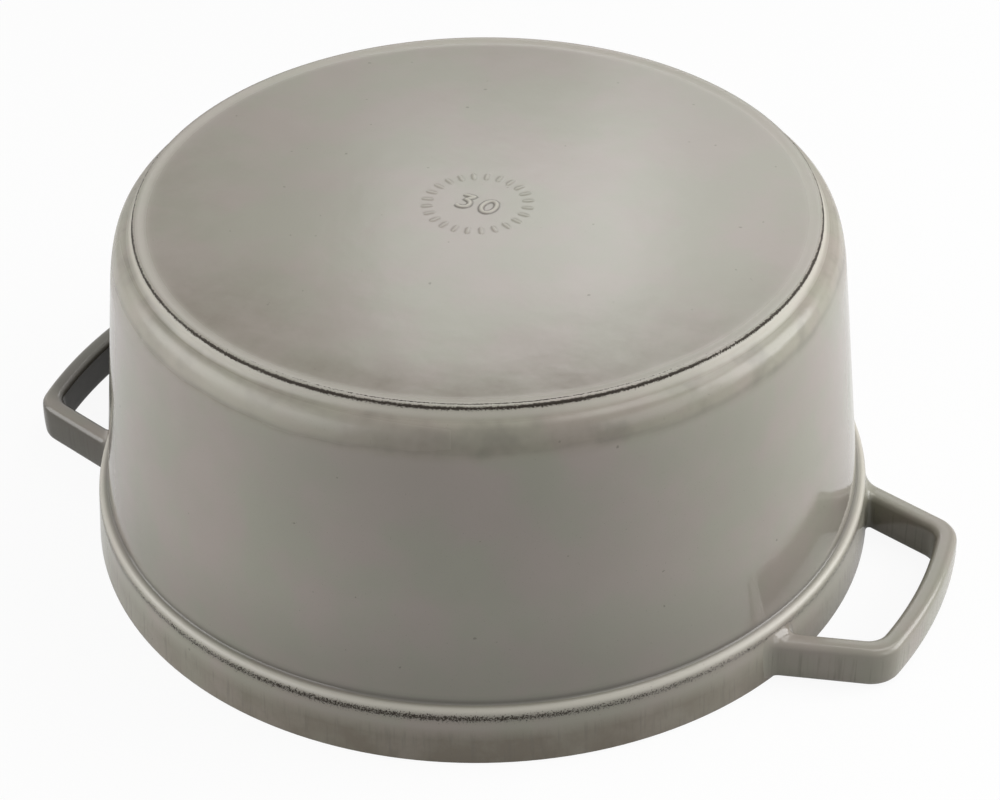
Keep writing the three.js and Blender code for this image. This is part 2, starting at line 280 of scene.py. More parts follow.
# Zones of the grey coat, each fading in between two radii or two heights
BAND_ZONE = (RIM_RADIUS - 5.2, RIM_RADIUS - 4.8)
HANDLE_ZONE = (RIM_RADIUS + 0.5, RIM_RADIUS + 3.0)
BAND_SHADE_ZONE = (BAND_SHADE_TOP - BAND_SHADE_DEPTH, BAND_SHADE_TOP)
LOW_WALL_ZONE = (24.0, 66.0)
MATT_ZONE = (POT_HEIGHT - 23.8, POT_HEIGHT - 16.8)
SHOULDER_ZONE = (POT_HEIGHT - 17.8, POT_HEIGHT - 11.8)
BASE_ZONE = (POT_HEIGHT - 2.3, POT_HEIGHT - 0.8)

# Noise lies mostly in a range about its middle
NOISE_RANGE = (0.3, 0.7)
NOISE_MIDDLE = 0.5

# Grey coat: tones in sRGB levels, shares, roughness and relief
COOL_GREY = (153, 152, 139)
WARM_GREY = (159, 150, 143)
PATCH_GREY = (145, 141, 131)
GRAIN_TONE = (122, 116, 106)
PIT_TONE = (96, 90, 80)
# Painted shade: the tint tone also low on the band, the streak tone low on the band and the low wall tone low
# on the wall.
TINT_TONE = (112, 103, 90)
STREAK_TONE = (100, 95, 86)
LOW_WALL_TONE = (108, 104, 95)
OLIVE_TONE = (150, 143, 122)
BLOTCH_TONE = (112, 107, 97)
FLECK_TONE = (104, 99, 88)
# Painted highlight, partly thin glaze (pale); painted shade, partly pooled glaze (pool); wear with painted
# shade (worn).
PALE_TONE = (197, 193, 182)
POOL_TONE = (42, 38, 31)
WORN_TONE = (48, 42, 35)
LOW_WALL_SHADE = 0.32
SHOULDER_WARMTH = 0.3
BASE_WARMTH = 0.15
PALE_SHARE = 0.75
CHIP_CONTRAST = 2.8
WALL_ROUGHNESS = 0.08
BASE_ROUGHNESS = 0.2
WORN_ROUGHNESS = 0.45
SHOULDER_ROUGHNESS = 0.18
PALE_ROUGHNESS = 0.3
HANDLE_ROUGHNESS = 0.12
WORN_METAL = 0.6
ENAMEL_IOR = 1.52
RIPPLE_SHARE = 0.2
SHOULDER_SWELL = 7.0
WORN_SINK = -0.3
ENAMEL_RELIEF = 0.09

# Other materials
BLACK_TONES = ((26, 25, 24), (44, 42, 40))
SOOT_TONE = (52, 49, 46)
BLACK_ROUGHNESS = (0.45, 0.65)
BLACK_RELIEF = 0.12
IRON_TONES = ((44, 41, 38), (78, 72, 66))
RUST_TONE = (92, 66, 48)
IRON_ROUGHNESS = (0.55, 0.8)
IRON_METAL = 0.6
IRON_RELIEF = 0.15
NICKEL = {"light": (196, 190, 180), "dark": (178, 172, 163), "roughness": 0.16, "turning": 2500}
STEEL = {"light": (160, 158, 154), "dark": (140, 138, 135), "roughness": 0.32, "turning": 3500}
SMEAR_ROUGHNESS = 0.12
TURNING_RELIEF = 0.01
FIBRE_TONES = ((34, 30, 27), (60, 54, 48))
FIBRE_ROUGHNESS = (0.75, 0.95)
FIBRE_RELIEF = 0.08

# A mix node's sockets for colours
MIX_SHARE = 0
MIX_A = 6
MIX_B = 7
MIX_RESULT = 2

# Floor and light, in metres. A softbox has its place as the photographer sees it (right of the pot,
# behind it and up), its width and height, and its radiance.
FLOOR_SIZE = 12.0
FLOOR_CAMERA_WHITE = 0.92
FLOOR_GLOSSY_WHITE = 0.25
FLOOR_TONE = (244, 244, 243)
FLOOR_BOUNCE_TONE = (165, 165, 163)
WORLD_DIFFUSE = 0.2
SOFTBOXES = {
    "top_box": ((0.45, 0.1, 0.9), (0.6, 0.6), 2.5),
    "back_panel": ((0.02, 1.0, 0.82), (0.24, 0.18), 2.8),
    "back_box": ((0.3, 1.0, 0.78), (0.45, 0.35), 1.3),
    "left_box": ((-1.0, 0.0, 0.45), (0.7, 0.7), 3.2),
    "right_box": ((1.0, 0.0, 0.45), (0.7, 0.7), 4.7),
    "left_front_box": ((-0.8, -0.6, 0.4), (0.6, 0.6), 2.4),
    "right_front_box": ((0.8, -0.6, 0.4), (0.6, 0.6), 1.6),
}

# Camera, as the photograph's
VIEW_AZIMUTH = 26.0
VIEW_ELEVATION = 36.44
VIEW_ROLL = -0.78
VIEW_DISTANCE = 1011.47
VIEW_TARGET = (6.615, 3.226, 47.91)
VIEW_LENS = 92.39
SENSOR_WIDTH = 36.0


# Lines and meshes

def unit(v):
    return v / np.linalg.norm(v)


def curve(start, control, end, t):
    return (1 - t) ** 2 * start + 2 * t * (1 - t) * control + t ** 2 * end


def rounded(corners):
    """A line through corners (x, y, cut before, cut after); a corner with cuts is bent between them."""
    line = []
    points = [np.array(corner[:2], float) for corner in corners]
    for i, (here, corner) in enumerate(zip(points, corners)):
        if len(corner) == 2:
            line.append(here)
            continue
        start = here + unit(points[i - 1] - here) * corner[2]
        end = here + unit(points[i + 1] - here) * corner[-1]
        length = np.linalg.norm(here - start) + np.linalg.norm(end - here)
        count = max(CURVE_STEPS, math.ceil(length / BEND_STEP))
        line.extend(curve(start, here, end, np.linspace(0, 1, count + 1)[:, None]))
    line = np.array(line)
    steps = np.linalg.norm(np.diff(line, axis=0), axis=1)
    return line[np.append(True, steps > SHORTEST_STEP)]


def refined(line, longest=LONGEST_STEP):
    """The same line with no step longer than a given length."""
    out = [line[0]]
    for before, after in zip(line, line[1:]):
        count = max(1, math.ceil(np.linalg.norm(after - before) / longest))
        out.extend(before + (after - before) * k / count for k in range(1, count + 1))
    return np.array(out)


def offset(line, distance):
    """The line moved sideways, to the right of its travel."""
    along = np.diff(line, axis=0)
    along /= np.linalg.norm(along, axis=1)[:, None]
    sides = np.stack([along[:, 1], -along[:, 0]], axis=1)
    before = np.vstack([sides[:1], sides])
    after = np.vstack([sides, sides[-1:]])
    middle = before + after
    middle /= np.linalg.norm(middle, axis=1)[:, None]
    return line + middle * (distance / (middle * before).sum(1))[:, None]


def lofted(rings, closed=False):
    """Points and faces of a skin over rings of equally many points; closed, its last ring joins the first."""
    rings = np.asarray(rings)
    count, around = rings.shape[:2]
    faces = []
    for row in range(count if closed else count - 1):
        below, above = row * around, (row + 1) % count * around
        for k in range(around):
            ahead = (k + 1) % around
            faces.append((below + k, below + ahead, above + ahead, above + k))
    return rings.reshape(-1, 3), faces


def capped(points, faces, around, ends):
    """The same skin, closed by a fan from its first ring to one end point and from its last to another."""
    first_end = len(points)
    last = first_end - around
    fans = []
    for k in range(around):
        ahead = (k + 1) % around
        fans.append((first_end, ahead, k))
        fans.append((first_end + 1, last + k, last + ahead))
    return np.vstack([points, ends]), faces + fans


def turned(line, steps=TURN_STEPS):
    """Points and faces of a line of radius and height turned about Z, facing outwards.

    The line closes on itself or has both ends on the axis.
    """
    across, up = line.T
    if across @ np.roll(up, -1) < up @ np.roll(across, -1):
        line = line[::-1]
    on_axis = line[0][0] == 0 and line[-1][0] == 0
    radius, height = (line[1:-1] if on_axis else line).T
    angles = np.arange(steps) * 2 * math.pi / steps
    points, faces = lofted(np.stack([
        np.outer(radius, np.cos(angles)),
        np.outer(radius, np.sin(angles)),
        np.repeat(height[:, None], steps, axis=1),
    ], axis=2), closed=not on_axis)
    if not on_axis:
        return points, faces
    return capped(points, faces, steps, [(0, 0, line[0][1]), (0, 0, line[-1][1])])


def joined(parts):
    points, faces, start = [], [], 0
    for part_points, part_faces in parts:
        points.append(part_points)
        faces.extend(tuple(start + i for i in face) for face in part_faces)
        start += len(part_points)
    return np.vstack(points), faces


def mesh_piece(name, points, faces, masks=None):
    """A smooth piece from points in millimetres, with a share of each mask at each point."""
    mesh = bpy.data.meshes.new(name)
    mesh.from_pydata((np.asarray(points) * MM).tolist(), [], faces)
    for mask, shares in (masks or {}).items():
        layer = mesh.attributes.new(mask, "FLOAT", "POINT")
        layer.data.foreach_set("value", np.asarray(shares, np.float32))
    mesh.shade_smooth()
    mesh.set_sharp_from_angle(angle=math.radians(SHARP_ANGLE))
    piece = bpy.data.objects.new(name, mesh)
    bpy.context.scene.collection.objects.link(piece)
    return piece


def masks_of(points, **given):
    """All masks of the grey coat, blank where none is given."""
    blank = np.zeros(len(points))
    return {mask: given.get(mask, blank) for mask in MASKS}


# Pot profile, in radius and height

band_top = np.array((RIM_RADIUS - BAND_TAPER, BAND_HEIGHT))
wall_root = np.array((band_top[0] - BEAD_STEP, BAND_HEIGHT + BEAD_HEIGHT))
wall_top = np.array((wall_root[0] - WALL_DRAFT, POT_HEIGHT - SHOULDER_HEIGHT))
shoulder = np.array((wall_top[0] - SHOULDER_STEP, POT_HEIGHT - COVE_HEIGHT))
foot_radius = shoulder[0] - COVE_STEP
base_height = POT_HEIGHT - BASE_RECESS
bead_top = BAND_HEIGHT + BEAD_HEIGHT * BEAD_FULLNESS
seat_radius = RIM_RADIUS - RIM_LAND
mouth_radius = seat_radius - SEAT_WIDTH


def pot_outside():
    """From the middle of the base over the foot ring, shoulder, wall and bead to the rim."""
    slope = (wall_root[0] - wall_top[0]) / (wall_top[1] - wall_root[1])
    turn = (shoulder[1] - wall_top[1]) * SHOULDER_FULLNESS
    cove = (foot_radius + COVE_STEP * COVE_FULLNESS, shoulder[1] + COVE_HEIGHT * COVE_FULLNESS)
    return rounded([
        (0, base_height),
        (foot_radius - FOOT_WIDTH - FOOT_SLOPE, base_height, *BASE_BEND),
        (foot_radius - FOOT_WIDTH, POT_HEIGHT, *FOOT_INNER_BEND),
        (foot_radius, POT_HEIGHT, *FOOT_OUTER_BEND),
        (*cove, *COVE_BEND),
        (*shoulder, *SHOULDER_BEND),
        (wall_top[0] - slope * turn, wall_top[1] + turn, WALL_BEND, turn),
        (wall_root[0], bead_top, BEAD_CREASE),
        (band_top[0], bead_top, BEAD_STEP - BEAD_CREASE, bead_top - BAND_HEIGHT),
        (RIM_RADIUS, COAT_EDGE, RIM_ROUND, COAT_EDGE_BEND),
        (RIM_RADIUS - ENAMEL, COAT_EDGE),
    ])


def pot_inside():
    """From the middle of the inner floor down the wall and round the lid seat to the rim."""
    floor_height = inner_high.z - ENAMEL
    inner_top = wall_top[0] - WALL_THICKNESS
    slope = (mouth_radius - inner_top) / (wall_top[1] - SEAT_DEPTH)
    corner = mouth_radius - slope * (floor_height - SEAT_DEPTH)
    return rounded([
        (0, floor_height),
        (corner, floor_height, INNER_CORNER),
        (mouth_radius, SEAT_DEPTH, SEAT_ROUND),
        (seat_radius, SEAT_DEPTH, SEAT_ROUND),
        (seat_radius, COAT_EDGE),
    ])


# Wear, glaze, painted shade and painted highlight on the pot, as a share at each point

def radius_of(points):
    return np.hypot(points[:, 0], points[:, 1])


def heading_of(points):
    return np.arctan2(points[:, 1], points[:, 0])


def near(points, radius, height, width):
    """A soft ring on the pot: 1 at a given radius and height, falling off over a width."""
    away = np.hypot(radius_of(points) - radius, points[:, 2] - height)
    return np.exp(-(away / width) ** 2)


def facing(points, middle, spread, least=0.0, most=1.0):
    """The most towards a heading in degrees, falling off over a spread to the least."""
    away = np.abs((np.degrees(heading_of(points)) - middle + 180) % 360 - 180)
    return least + (most - least) * np.exp(-(away / spread) ** 2)


def rippled(points, waves):
    return sum(size * np.sin(count * heading_of(points) + phase) for size, count, phase in waves)


def wear_at(points):
    """Wear and painted shade: wear at the bead, there most on one side; wear and painted shade beside the
    outside of the foot's crest; painted shade beside its inside, at the front.
    """
    bead = near(points, band_top[0], BAND_HEIGHT + BEAD_WEAR_LIFT, BEAD_WEAR_WIDTH)
    bead *= facing(points, WEAR_HEADING, WEAR_SPREAD, BEAD_WEAR_LEAST, BEAD_WEAR)
    outer = near(points, foot_radius + FOOT_WEAR_OUT, POT_HEIGHT - FOOT_WEAR_DROP, FOOT_WEAR_WIDTH)
    outer *= FOOT_WEAR * (1 + rippled(points, FOOT_WEAR_WAVES))
    inner_edge = foot_radius - FOOT_WIDTH
    inner = near(points, inner_edge - FOOT_LINE_INSET, POT_HEIGHT - FOOT_LINE_INSET, FOOT_LINE_WIDTH)
    inner *= facing(points, FRONT_HEADING, FRONT_SPREAD)
    return np.maximum.reduce([bead, outer, inner])


def above_edge(points):
    """Height above the uneven line at which the shoulder's painted reflection and painted shade end on the
    wall.
    """
    return points[:, 2] - SHOULDER_EDGE - rippled(points, SHOULDER_EDGE_WAVES)


def shoulder_at(points):
    """1 on the shoulder above that line and below the cove."""
    outside = radius_of(points) > foot_radius
    rise = np.clip(above_edge(points) / SHOULDER_EDGE_WIDTH + 0.5, 0, 1)
    return rise * np.clip((SHOULDER_TOP - points[:, 2]) / SHOULDER_EDGE_WIDTH, 0, 1) * outside


def pool_at(points):
    """Where the coat darkens: painted shade, partly pooled glaze, beside the bead; painted shade on the
    shoulder's edge and front.
    """
    crease = near(points, wall_root[0], bead_top + CREASE_POOL_LIFT, POOL_WIDTH)
    corner = near(points, band_top[0], BAND_HEIGHT + BEAD_WEAR_LIFT, POOL_WIDTH)
    corner *= facing(points, WEAR_HEADING, WEAR_SPREAD, CORNER_POOL_LEAST)
    edge = np.exp(-(above_edge(points) / SHOULDER_EDGE_WIDTH) ** 2)
    plateau = shoulder_at(points) * facing(points, FRONT_HEADING, SHOULDER_POOL_SPREAD)
    return np.maximum.reduce([
        CREASE_POOL * crease,
        CORNER_POOL * corner,
        SHOULDER_POOL * edge,
        SHOULDER_POOL * plateau,
    ])


def pale_at(points):
    """Where the coat is lighter: painted highlight, partly thin glaze, beside the foot and on the bead's
    crown; a painted reflection left on the shoulder.
    """
    cove = near(points, foot_radius + COVE_PALE_OUT, POT_HEIGHT - COVE_PALE_DROP, COVE_PALE_WIDTH)
    slope = near(points, foot_radius - FOOT_WIDTH - FOOT_SLOPE / 2, base_height, SLOPE_PALE_WIDTH)
    bead = near(points, band_top[0] - BEAD_PALE_INSET, bead_top - BEAD_PALE_INSET, BEAD_PALE_WIDTH)
    plateau = shoulder_at(points) * facing(points, LEFT_HEADING, LEFT_SPREAD)
    return np.maximum.reduce([cove, SLOPE_PALE * slope, bead, SHOULDER_PALE * plateau])


def tint_at(points):
    """Browner and darker: in patches on the base; and painted shade low on the rim band."""
    radius = radius_of(points)
    tint = np.zeros(len(points))
    for middle, spread, depth, start, full in TINT_PATCHES:
        outward = np.clip((radius - start) / (full - start), 0, 1)
        tint = np.maximum(tint, depth * outward * facing(points, middle, spread))
    tint *= points[:, 2] > base_height - ENAMEL / 2
    tint *= radius < foot_radius - FOOT_WIDTH - FOOT_SLOPE / 2
    low = np.clip((BAND_SHADE_TOP - points[:, 2]) / BAND_SHADE_DEPTH, 0, 1) * (radius > wall_root[0])
    return tint + BAND_SHADE * low * facing(points, FRONT_HEADING, BAND_SHADE_SPREAD, BAND_SHADE_LEAST)


# Pot pieces

def above_rim(line):
    return line[line[:, 1] > COAT_EDGE + RIM_ROUND]


def pot_coat():
    face = refined(pot_outside())
    back = above_rim(offset(face, ENAMEL))
    points, faces = turned(np.vstack([face, back[::-1]]))
    return mesh_piece("pot_outer_coat", points, faces, masks_of(
        points,
        wear=wear_at(points),
        pool=pool_at(points),
        pale=pale_at(points),
        tint=tint_at(points),
    ))


def coat(line, side):
    """An even coat turned from the line it shows, with its back on the right of it (1) or the left (-1)."""
    face = refined(line)
    back = offset(face, side * ENAMEL)
    return turned(np.vstack([face, back[::-1]]))


def pot_iron():
    outer = above_rim(offset(refined(pot_outside()), IRON_DEPTH))
    inner = above_rim(offset(refined(pot_inside()), -IRON_DEPTH))
    rim = rounded([
        outer[-1],
        (RIM_RADIUS - IRON_DEPTH, 0, RIM_ROUND / 2),
        (seat_radius + IRON_DEPTH, 0, RIM_ROUND / 2),
        inner[-1],
    ])
    return turned(np.vstack([outer[:-1], rim, inner[-2::-1]]))


# Loop handles. Seen from above, their points are complex numbers.

outside_line = pot_outside()


def outside_radius(height):
    rim_up = outside_line[outside_line[:, 0] > wall_top[0]][::-1]
    return np.interp(height, rim_up[:, 1], rim_up[:, 0])


def reach(start, along, radius):
    """How far ahead of a start a circle about the pot's axis lies."""
    ahead = (start * along.conjugate()).real
    return np.sqrt(ahead ** 2 - np.abs(start) ** 2 + radius ** 2) - ahead


def handle_rails(depth):
    """The edges of half a handle, outer and inner, from leg to middle of bar, and the leg's heading."""
    band = RIM_RADIUS - BAND_TAPER / 2
    middle = HANDLE_REACH - HANDLE_BAR / 2
    root = complex(math.sqrt(band ** 2 - HANDLE_ROOT_HALF ** 2), HANDLE_ROOT_HALF)
    apex = complex(math.sqrt(middle ** 2 - HANDLE_BAR_HALF ** 2), HANDLE_BAR_HALF)
    along = (apex - root) / abs(apex - root)
    outward = 1j * along
    half_leg = HANDLE_LEG / 2 - depth
    start = max(OUTER_ROOT_FILLET, TOP_ROOT_FILLET) + ROOT_RUN

    def rail(side, corner, bar):
        shifted = root + outward * (side - corner)
        travel = reach(shifted, along, bar - corner)
        centre = shifted + along * travel
        first, last = np.angle(outward), np.angle(centre)
        leg = root + outward * side + along * np.linspace(start, travel, LEG_STEPS, endpoint=False)
        bend = centre + corner * np.exp(1j * np.linspace(first, last, LOOP_CORNER_STEPS, endpoint=False))
        bar_line = bar * np.exp(1j * np.linspace(last, 0, BAR_STEPS + 1))
        return np.concatenate([leg, bend, bar_line])

    outer = rail(half_leg, OUTER_CORNER - depth, HANDLE_REACH - depth)
    inner = rail(-half_leg, INNER_LOOP_CORNER + depth, HANDLE_REACH - HANDLE_BAR + depth)
    return outer, inner, along


def section_ring(width, low, high, round_off):
    """A rounded bar section: offsets across from the inner edge, heights, and its outward normals."""
    half = width / 2
    tall = (high - low) / 2
    corners = ((1, 1), (-1, 1), (-1, -1), (1, -1))
    onward = ((-1, 0), (0, -1), (1, 0), (0, 1))
    spots = []
    for quarter, ((sx, sz), (across, up)) in enumerate(zip(corners, onward)):
        for k in range(SECTION_CORNER_STEPS + 1):
            angle = math.pi / 2 * (quarter + k / SECTION_CORNER_STEPS)
            spots.append((
                sx * (half - round_off) + round_off * math.cos(angle),
                sz * (tall - round_off) + round_off * math.sin(angle),
                math.cos(angle),
                math.sin(angle),
            ))
        x, z, nx, nz = spots[-1]
        length = 2 * ((half if across else tall) - round_off)
        parts = SECTION_TOP_STEPS if across else SECTION_SIDE_STEPS
        for k in range(1, parts):
            spots.append((x + across * length * k / parts, z + up * length * k / parts, nx, nz))
    spots = np.array(spots)
    spots[:, 0] -= np.sign(spots[:, 0]) * HANDLE_BULGE * (spots[:, 1] / tall) ** 2
    spots[:, 1] -= np.sign(spots[:, 1]) * HANDLE_BULGE * (spots[:, 0] / half) ** 2
    return spots + np.array((half, (low + high) / 2, 0, 0))


def handle_rings(depth):
    """Rings of a whole handle a depth inside its face, and the section's normals."""
    outer, inner, along = handle_rails(depth)
    low = HANDLE_BOTTOM + depth
    high = BAND_HEIGHT - HANDLE_DROP - depth

    def ring(plan, height):
        return np.column_stack([plan.real, plan.imag, height])

    def across(o, i, spots):
        return i + (o - i) / abs(o - i) * spots[:, 0]

    # The root: each line along the leg bends out onto the band, and at the top up onto the bead.
    spots = section_ring(HANDLE_LEG - 2 * depth, low, high, HANDLE_ROUND - depth)
    start = across(outer[0], inner[0], spots)
    height, outward, upward = spots[:, 1], spots[:, 2], spots[:, 3]
    radius = outside_radius(height) - depth
    foot = start + along * reach(start, along, radius)
    side_fillet = np.where(outward > 0, OUTER_ROOT_FILLET, INNER_ROOT_FILLET)
    top_fillet = np.where(upward > 0, TOP_ROOT_FILLET, HANDLE_BOTTOM - COAT_EDGE)
    leave = foot + along * (outward ** 2 * side_fillet + upward ** 2 * top_fillet)
    land_height = height + upward * top_fillet
    land_radius = outside_radius(land_height) - depth - ROOT_SINK
    land = land_radius * np.exp(1j * (np.angle(foot) + outward * side_fillet / radius))
    half = [
        ring(curve(land, foot, leave, t), curve(land_height, height, height, t))
        for t in np.linspace(0, 1, ROOT_STEPS + 1)
    ]
    for o, i in zip(outer, inner):
        section = section_ring(abs(o - i), low, high, HANDLE_ROUND - depth)
        half.append(ring(across(o, i, section), section[:, 1]))
    mirrored = [each * (1, -1, 1) for each in half[-2::-1]]
    return np.array(half + mirrored), spots[:, 2:]


def handle(depth, heading):
    """A handle's skin, closed by an end point inside the wall at each root, and its section's normals."""
    rings, normals = handle_rings(depth)
    ends = rings[[0, -1]].mean(axis=1)
    ends[:, :2] *= 1 - ROOT_CAP_DEPTH / np.hypot(ends[:, :1], ends[:, 1:2])
    points, faces = capped(*lofted(rings), rings.shape[1], ends)
    turn = np.array(Matrix.Rotation(heading, 3, "Z"))
    return points @ turn.T, faces, np.vstack([np.tile(normals, (len(rings), 1)), np.zeros((2, 2))])


def handle_pool(points, normals, bar_top, leg_top, leg_side, inside):
    """Painted shade on a handle: on its bar and near leg, beside that leg and inside the loop."""
    outward, upward = normals.T
    near_leg = np.clip((-points[:, 1] / HANDLE_BAR_HALF - NEAR_LEG_START) / (1 - NEAR_LEG_START), 0, 1)
    return np.maximum.reduce([
        (bar_top + (leg_top - bar_top) * near_leg) * np.clip(upward, 0, 1),
        leg_side * np.clip(outward, 0, 1) * near_leg,
        inside * np.clip(-outward, 0, 1),
    ])


# Lid

flange_radius = lid_high.y
flange_top = SKIRT_DEPTH + FLANGE_THICKNESS
boss_top = lid_high.z
boss_under = under_high.z - ENAMEL
skirt_inside = under_high.y - ENAMEL
skirt_outside = skirt_inside + SKIRT_THICKNESS
dome_radius = mouth_radius - DOME_SETBACK


def dome(start, end, drop):
    share = np.linspace(0, 1, DOME_STEPS + 1)
    radius = start + (end - start) * share
    return [(r, flange_top + DOME_RISE * (1 - s ** 2) - drop) for r, s in zip(radius, share)]


def lid_top():
    return rounded([
        (BORE_RADIUS, boss_top),
        (BOSS_RADIUS, boss_top, BOSS_BEND),
        *dome(BOSS_RADIUS + BOSS_SLOPE, dome_radius, 0)[1:-1],
        (dome_radius, flange_top, FLANGE_BEND),
        (flange_radius, flange_top, LID_ROUND),
        (flange_radius, lid_low.z),
    ])


def lid_under():
    return rounded([
        (BORE_RADIUS, boss_under),
        *dome(BOSS_RADIUS + BOSS_SLOPE, skirt_inside, LID_THICKNESS)[:-1],
        (skirt_inside, flange_top - LID_THICKNESS, SKIRT_INSIDE_BEND),
        (skirt_inside, under_low.z),
    ])


def lid_iron():
    upper = offset(refined(lid_top()), IRON_DEPTH)
    lower = offset(refined(lid_under()), -IRON_DEPTH)
    upper[-1][1] = SKIRT_DEPTH
    lower[-1][1] = 0
    skirt = rounded([
        upper[-1],
        (skirt_outside, SKIRT_DEPTH, SKIRT_ROOT_BEND),
        (skirt_outside, 0, SKIRT_EDGE_BEND),
        lower[-1],
    ])
    return turned(np.vstack([upper[:-1], skirt, lower[-2::-1]]))


# Knob and washers

def knob():
    bottom, top = knob_low.z, knob_high.z
    radius = knob_high.x
    edge = top - KNOB_CROWN
    line = rounded([
        (0, bottom + THREAD_DEPTH),
        (BORE_RADIUS, bottom + THREAD_DEPTH),
        (BORE_RADIUS, bottom),
        (KNOB_FOOT_RADIUS, bottom, KNOB_FOOT_BEND),
        (KNOB_WAIST_RADIUS, bottom + KNOB_WAIST_HEIGHT / 2, *KNOB_WAIST_BEND),
        (KNOB_WAIST_RADIUS + KNOB_NECK_FLARE, edge - KNOB_EDGE, *KNOB_NECK_BEND),
        (radius, edge - KNOB_EDGE / 2, *KNOB_EDGE_BEND),
        (radius - KNOB_LIP, edge + KNOB_LIP, *KNOB_LIP_BEND),
        (KNOB_CROWN_RADIUS, top, *KNOB_CROWN_BEND),
        (0, top),
    ])
    return turned(line, KNOB_STEPS)


def washer(low, high):
    line = rounded([
        (BORE_RADIUS, low.z),
        (high.x, low.z, WASHER_ROUND),
        (high.x, high.z, WASHER_ROUND),
        (BORE_RADIUS, high.z),
    ])
    return turned(line, KNOB_STEPS)


# Relief number and ticks on the base

def ridge(path, relief, contrast, closed=False):
    """A low raised line on the base along a path, with a soft crest, a faint apron and tapered ends.

    Returns its points and faces, and its painted shade on the apron and painted highlight on the crest at
    each point.
    """
    path = np.asarray(path, float)
    half_stroke = MARK_STROKE / 2
    if closed:
        along = np.roll(path, -1, axis=0) - np.roll(path, 1, axis=0)
        full = np.ones(len(path))
    else:
        along = np.gradient(path, axis=0)
        run = np.concatenate([[0], np.cumsum(np.linalg.norm(np.diff(path, axis=0), axis=1))])
        from_end = np.minimum(run, run[-1] - run) / half_stroke
        full = np.sqrt(1 - (1 - np.clip(from_end, 0, 1)) ** 2).clip(RIDGE_END_SHARE)
    along /= np.linalg.norm(along, axis=1)[:, None]
    side = np.stack([-along[:, 1], along[:, 0]], axis=1)
    across = np.linspace(1, -1, RIDGE_STEPS + 1)
    crest = np.cos(np.clip(across / RIDGE_SHARE, -1, 1) * math.pi / 2)
    apron = np.sin(np.abs(across) * math.pi) ** 2
    lift = relief * crest ** RIDGE_SHARPNESS + APRON_LIFT * (1 - across ** 2)
    rings = []
    for spot, normal, share in zip(path, side, full):
        plan = spot + normal * (across * half_stroke * share)[:, None]
        crown = np.column_stack([plan, base_height + lift * share])
        under = np.column_stack([plan[[-1, 0]], [base_height - MARK_SINK] * 2])
        rings.append(np.vstack([crown, under]))
    points, faces = lofted(rings, closed)
    around = len(rings[0])
    if not closed:
        faces.append(tuple(range(around))[::-1])
        faces.append(tuple(range(len(points) - around, len(points))))
    pooled = np.concatenate([MARK_POOL * contrast * apron * (1 - crest), [0, 0]])
    paled = np.concatenate([contrast * crest ** 2, [0, 0]])
    return points, faces, np.tile(pooled, len(rings)), np.tile(paled, len(rings))


def digit_three(x, y):
    bowl = DIGIT_HALF_WIDTH * BOWL_SHARE
    angles = np.linspace(*np.radians(BOWL_ANGLES), BOWL_STEPS + 1)
    arc = np.column_stack([bowl * np.cos(angles), bowl * np.sin(angles) - DIGIT_HALF_HEIGHT + bowl])
    straight = refined(np.array([
        (-DIGIT_HALF_WIDTH, DIGIT_HALF_HEIGHT),
        (DIGIT_HALF_WIDTH * TOP_STROKE_SHARE, DIGIT_HALF_HEIGHT),
        arc[0],
    ]), DIGIT_STEP)
    return np.vstack([straight[:-1], arc]) + (x, y)


def digit_zero(x, y):
    angles = np.linspace(0, 2 * math.pi, ZERO_STEPS, endpoint=False)
    return np.column_stack([DIGIT_HALF_WIDTH * np.cos(angles), DIGIT_HALF_HEIGHT * np.sin(angles)]) + (x, y)


def size_mark():
    three = digit_three(-DIGIT_SPACING / 2, -DIGIT_DROP)
    zero = digit_zero(DIGIT_SPACING / 2, -DIGIT_DROP)
    parts = [
        ridge(three, DIGIT_RELIEF, DIGIT_CONTRAST),
        ridge(zero, DIGIT_RELIEF, DIGIT_CONTRAST, closed=True),
    ]
    for k in range(TICK_COUNT):
        angle = 2 * math.pi * k / TICK_COUNT
        heading = np.array((math.cos(angle), math.sin(angle)))
        path = np.outer(np.linspace(TICK_INNER, TICK_OUTER, TICK_STEPS + 1), heading)
        parts.append(ridge(path, TICK_RELIEF, TICK_CONTRAST))
    points, faces = joined([part[:2] for part in parts])
    pooled = np.concatenate([part[2] for part in parts])
    paled = np.concatenate([part[3] for part in parts])
    return mesh_piece("size_mark", points, faces, masks_of(points, pool=pooled, pale=paled))


# Materials

def srgb(tone):
    """A colour in linear light from sRGB levels of 255."""
    levels = [c / 255 for c in tone]
    return (*(c / 12.92 if c <= 0.04045 else ((c + 0.055) / 1.055) ** 2.4 for c in levels), 1.0)


def put(tree, socket, value):
    """Links a socket to an output, or sets it to a value."""
    if isinstance(value, bpy.types.NodeSocket):
        tree.links.new(value, socket)
    else:
        socket.default_value = value


def math_node(tree, operation, *values, clamp=False):
    node = tree.nodes.new("ShaderNodeMath")
    node.operation = operation
    node.use_clamp = clamp
    for socket, value in zip(node.inputs, values):
        put(tree, socket, value)
    return node.outputs[0]


def mix_node(tree, share, a, b):
    node = tree.nodes.new("ShaderNodeMix")
    node.data_type = "RGBA"
    put(tree, node.inputs[MIX_SHARE], share)
    put(tree, node.inputs[MIX_A], a)
    put(tree, node.inputs[MIX_B], b)
    return node.outputs[MIX_RESULT]


